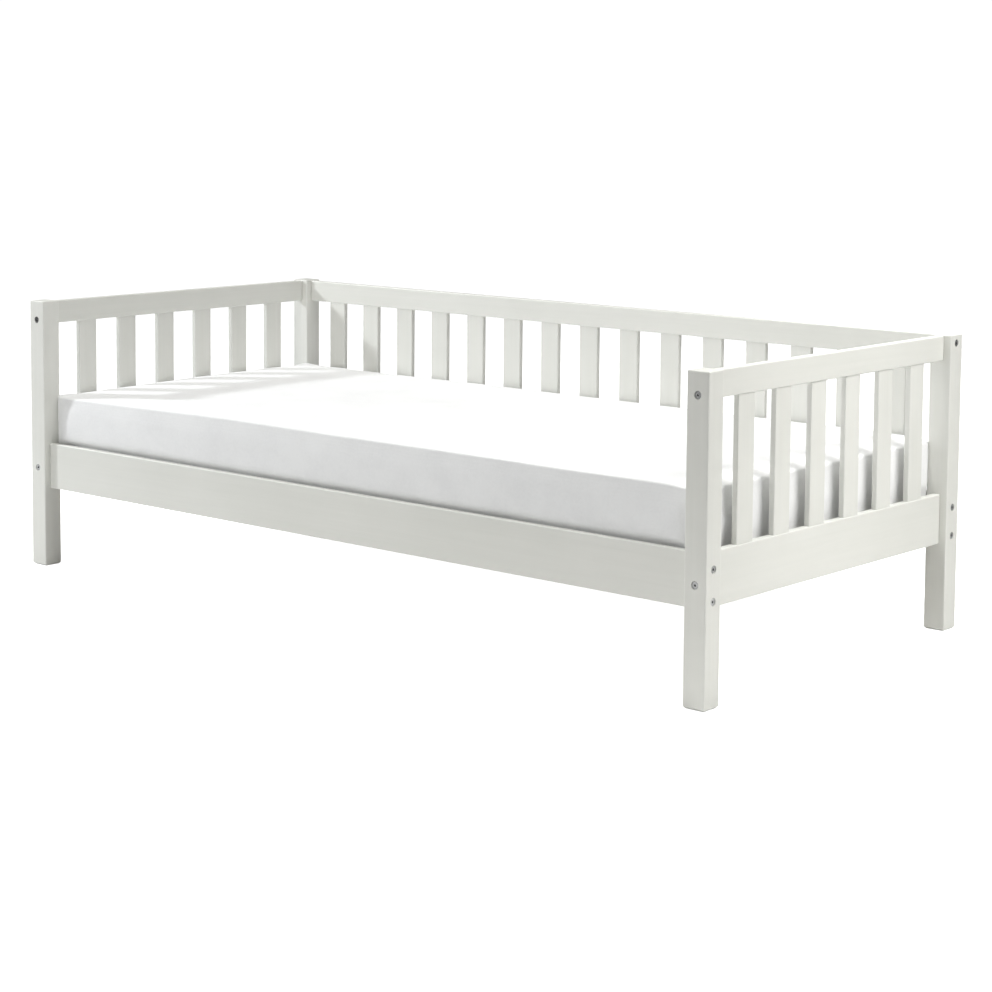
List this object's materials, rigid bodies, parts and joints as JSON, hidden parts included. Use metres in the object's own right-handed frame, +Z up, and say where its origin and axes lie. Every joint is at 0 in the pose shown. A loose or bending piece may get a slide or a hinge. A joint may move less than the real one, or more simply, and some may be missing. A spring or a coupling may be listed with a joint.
{
  "type": "slatted child's bed",
  "caption": "Free-standing wooden child's bed with square posts, a slatted guard on both ends and along the back, an open front with a deep side rail, and a lift-out mattress.",
  "frame": {"origin": "on the floor, under the middle of the bed's outer box", "axes": "+X along the bed's length, +Y from the open front to the guarded back, +Z up"},
  "size_m": [2.086, 0.968, 0.669],
  "materials": {
    "lacquered_wood": "satin",
    "raw_pine": "matte",
    "steel": "satin",
    "mattress_fabric": "matte"
  },
  "bodies": {
    "frame": {"front_left_post": "lacquered_wood", "front_right_post": "lacquered_wood", "back_left_post": "lacquered_wood", "back_right_post": "lacquered_wood", "front_side_rail": "lacquered_wood", "back_lower_rail": "lacquered_wood", "back_top_rail": "lacquered_wood", "left_end_lower_rail": "lacquered_wood", "left_end_top_rail": "lacquered_wood", "right_end_lower_rail": "lacquered_wood", "right_end_top_rail": "lacquered_wood", "back_guard_slat_01": "lacquered_wood", "back_guard_slat_02": "lacquered_wood", "back_guard_slat_03": "lacquered_wood", "back_guard_slat_04": "lacquered_wood", "back_guard_slat_05": "lacquered_wood", "back_guard_slat_06": "lacquered_wood", "back_guard_slat_07": "lacquered_wood", "back_guard_slat_08": "lacquered_wood", "back_guard_slat_09": "lacquered_wood", "back_guard_slat_10": "lacquered_wood", "back_guard_slat_11": "lacquered_wood", "back_guard_slat_12": "lacquered_wood", "back_guard_slat_13": "lacquered_wood", "back_guard_slat_14": "lacquered_wood", "back_guard_slat_15": "lacquered_wood", "left_end_slat_01": "lacquered_wood", "left_end_slat_02": "lacquered_wood", "left_end_slat_03": "lacquered_wood", "left_end_slat_04": "lacquered_wood", "left_end_slat_05": "lacquered_wood", "left_end_slat_06": "lacquered_wood", "right_end_slat_01": "lacquered_wood", "right_end_slat_02": "lacquered_wood", "right_end_slat_03": "lacquered_wood", "right_end_slat_04": "lacquered_wood", "right_end_slat_05": "lacquered_wood", "right_end_slat_06": "lacquered_wood", "front_ledger_strip": "raw_pine", "back_ledger_strip": "raw_pine", "slatted_base": "raw_pine", "bolt_front_left_end_rail_lower": "steel", "bolt_front_left_end_rail_upper": "steel", "bolt_front_left_side_rail_lower": "steel", "bolt_front_left_side_rail_upper": "steel", "bolt_front_right_end_rail_lower": "steel", "bolt_front_right_end_rail_upper": "steel", "bolt_front_right_side_rail_lower": "steel", "bolt_front_right_side_rail_upper": "steel", "bolt_back_left_end_rail_lower": "steel", "bolt_back_left_end_rail_upper": "steel", "bolt_back_left_side_rail_lower": "steel", "bolt_back_left_side_rail_upper": "steel", "bolt_back_left_side_rail_top": "steel", "bolt_back_right_end_rail_lower": "steel", "bolt_back_right_end_rail_upper": "steel", "bolt_back_right_side_rail_lower": "steel", "bolt_back_right_side_rail_upper": "steel", "bolt_back_right_side_rail_top": "steel"},
    "mattress": {"mattress": "mattress_fabric"}
  },
  "joints": [
    {"name": "mattress_lift", "type": "slide", "parent": "frame", "child": "mattress", "axis": [0, 0, 1], "range_m": [0, 0.45]}
  ]
}
